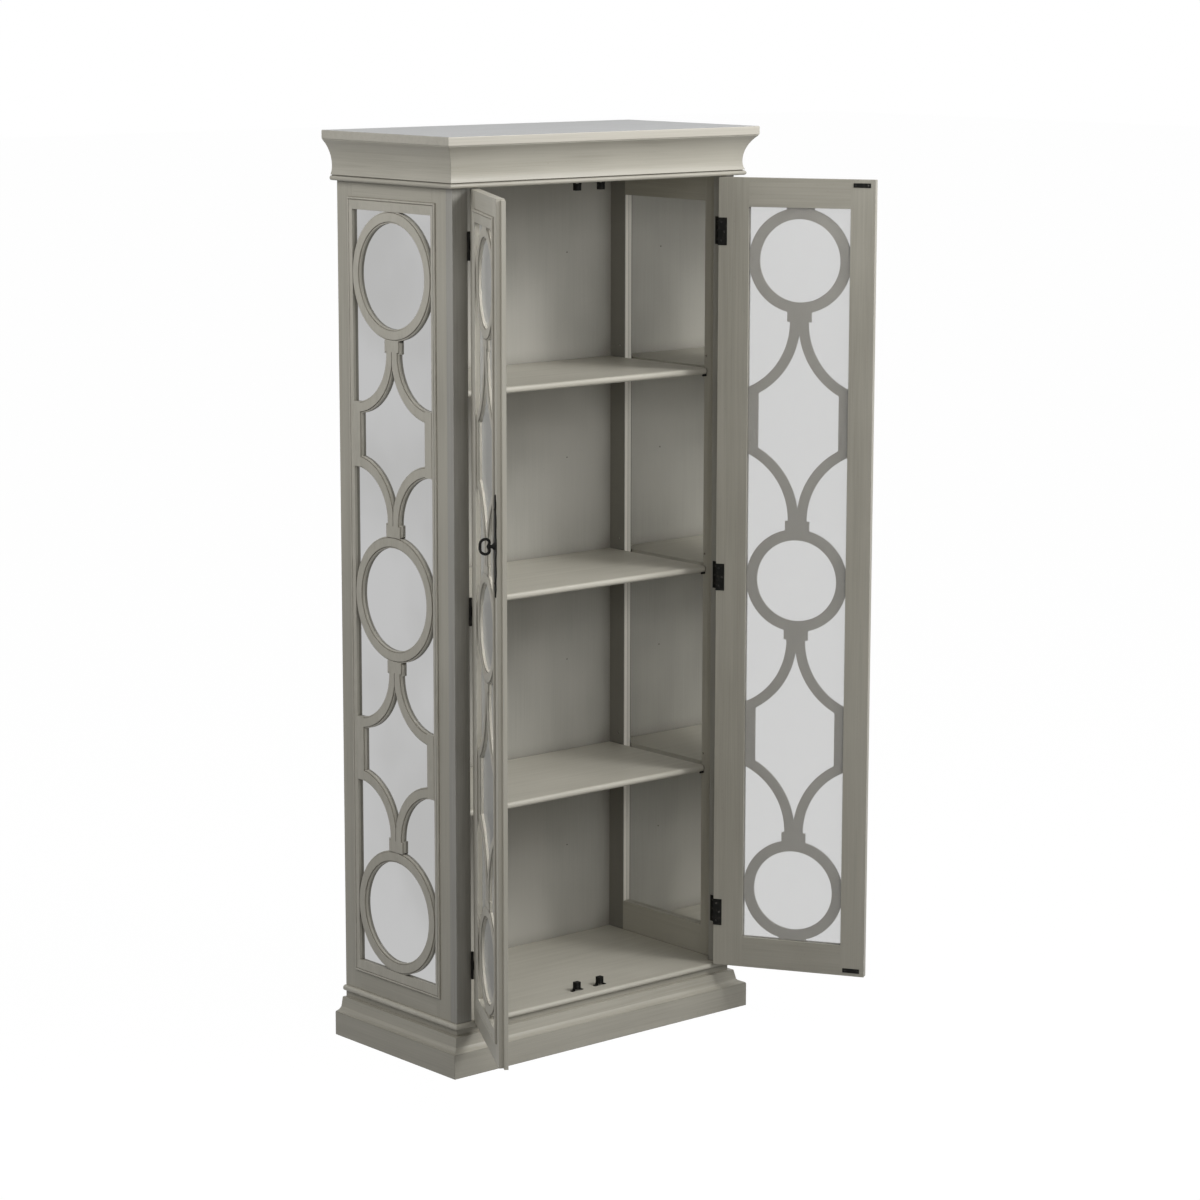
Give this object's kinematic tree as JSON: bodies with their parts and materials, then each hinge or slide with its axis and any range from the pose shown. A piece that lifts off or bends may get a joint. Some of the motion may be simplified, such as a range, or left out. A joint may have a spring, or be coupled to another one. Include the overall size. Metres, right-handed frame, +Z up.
{
  "type": "display cabinet",
  "caption": "Tall display cabinet with a crown, mirrored sides, loose shelves and two hinged glazed doors behind ring and lozenge fretwork.",
  "frame": {"origin": "on the floor, at the centre of the plinth's footprint, on the underside of the centre bearer", "axes": "+Z up, +Y towards the back, +X to the right seen from the front"},
  "size_m": [1.1493, 0.7461, 2.083],
  "materials": {
    "painted_wood": "satin",
    "mirror": "polished",
    "glass": "polished",
    "dark_metal": "satin"
  },
  "bodies": {
    "cabinet": {"back_panel": "painted_wood", "base_moulding_front": "painted_wood", "base_moulding_left": "painted_wood", "base_moulding_right": "painted_wood", "bottom_board": "painted_wood", "crown_front": "painted_wood", "crown_left": "painted_wood", "crown_right": "painted_wood", "hinge_post_leaves": "dark_metal", "inner_top": "painted_wood", "left_post": "painted_wood", "left_side_bottom_rail": "painted_wood", "left_side_fretwork": "painted_wood", "left_side_front_stile": "painted_wood", "left_side_mirror": "mirror", "left_side_moulding": "painted_wood", "left_side_rear_stile": "painted_wood", "left_side_top_rail": "painted_wood", "lower_shelf": "painted_wood", "magnetic_catches": "dark_metal", "middle_shelf": "painted_wood", "plinth_back": "painted_wood", "plinth_centre_bearer": "painted_wood", "plinth_front": "painted_wood", "plinth_left": "painted_wood", "plinth_right": "painted_wood", "right_post": "painted_wood", "right_side_bottom_rail": "painted_wood", "right_side_fretwork": "painted_wood", "right_side_front_stile": "painted_wood", "right_side_mirror": "mirror", "right_side_moulding": "painted_wood", "right_side_rear_stile": "painted_wood", "right_side_top_rail": "painted_wood", "shelf_pins": "dark_metal", "top_front_rail": "painted_wood", "top_slab": "painted_wood", "upper_shelf": "painted_wood"},
    "left_door": {"left_door_bottom_rail": "painted_wood", "left_door_fretwork": "painted_wood", "left_door_glass": "glass", "left_door_hinge_leaves": "dark_metal", "left_door_hinge_stile": "painted_wood", "left_door_key_pull": "dark_metal", "left_door_meeting_stile": "painted_wood", "left_door_meeting_strip": "painted_wood", "left_door_moulding": "painted_wood", "left_door_strike_plates": "dark_metal", "left_door_top_rail": "painted_wood"},
    "right_door": {"right_door_bottom_rail": "painted_wood", "right_door_fretwork": "painted_wood", "right_door_glass": "glass", "right_door_hinge_leaves": "dark_metal", "right_door_hinge_stile": "painted_wood", "right_door_key_pull": "dark_metal", "right_door_meeting_stile": "painted_wood", "right_door_moulding": "painted_wood", "right_door_strike_plates": "dark_metal", "right_door_top_rail": "painted_wood"}
  },
  "joints": [
    {"name": "left_door_hinge", "type": "hinge", "parent": "cabinet", "child": "left_door", "pos_m": [-0.368, -0.1943, 1.046], "axis": [0, 0, 1], "range_deg": [-50, 120]},
    {"name": "right_door_hinge", "type": "hinge", "parent": "cabinet", "child": "right_door", "pos_m": [0.368, -0.1943, 1.046], "axis": [0, 0, 1], "range_deg": [-121.5, 48.5]}
  ]
}
